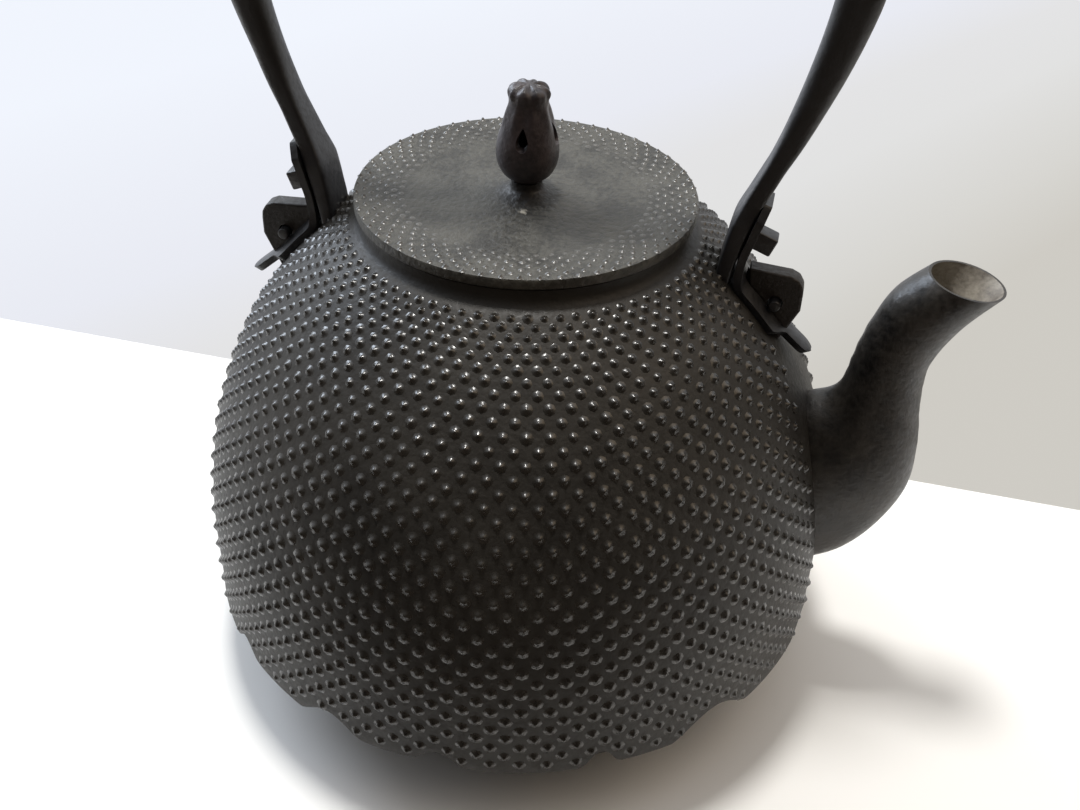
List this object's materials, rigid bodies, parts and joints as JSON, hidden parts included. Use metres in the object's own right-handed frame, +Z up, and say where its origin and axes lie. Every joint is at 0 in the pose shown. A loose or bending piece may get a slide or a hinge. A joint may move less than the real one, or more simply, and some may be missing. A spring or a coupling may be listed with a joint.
{
  "type": "cast iron kettle",
  "caption": "Squat round hobnail cast iron kettle with a curved pouring spout, a lift-off lid with a pierced bud knob, and a tall standing bail.",
  "frame": {"origin": "on the flat underside of the base, under the middle of the round body", "axes": "+Z up through the lid knob, +X towards the spout, the bail stands in the XZ plane"},
  "size_m": [0.216, 0.184, 0.2679],
  "materials": {
    "cast_iron": "cast, dark patina, satin",
    "base_iron": "as cast, sooty",
    "lid_iron": "cast, grained, satin",
    "knob_iron": "cast, dark patina, satin",
    "forged_iron": "forged and blacked, satin"
  },
  "bodies": {
    "kettle": {"kettle_body": "cast_iron", "base_plate": "base_iron", "spout": "cast_iron", "bail": "forged_iron", "bail_strap_front": "forged_iron", "bail_peg_front": "forged_iron", "lug_pin_front": "forged_iron", "bail_strap_back": "forged_iron", "bail_peg_back": "forged_iron", "lug_pin_back": "forged_iron"},
    "lid": {"lid": "lid_iron", "knob_washer": "forged_iron"},
    "knob": {"lid_knob": "knob_iron"}
  },
  "joints": [
    {"name": "lid_lift", "type": "slide", "parent": "kettle", "child": "lid", "axis": [0, 0, 1], "range_m": [0, 0.045]},
    {"name": "knob_spin", "type": "hinge", "parent": "lid", "child": "knob", "pos_m": [0, 0, 0.157], "axis": [0, 0, 1], "continuous": true}
  ]
}
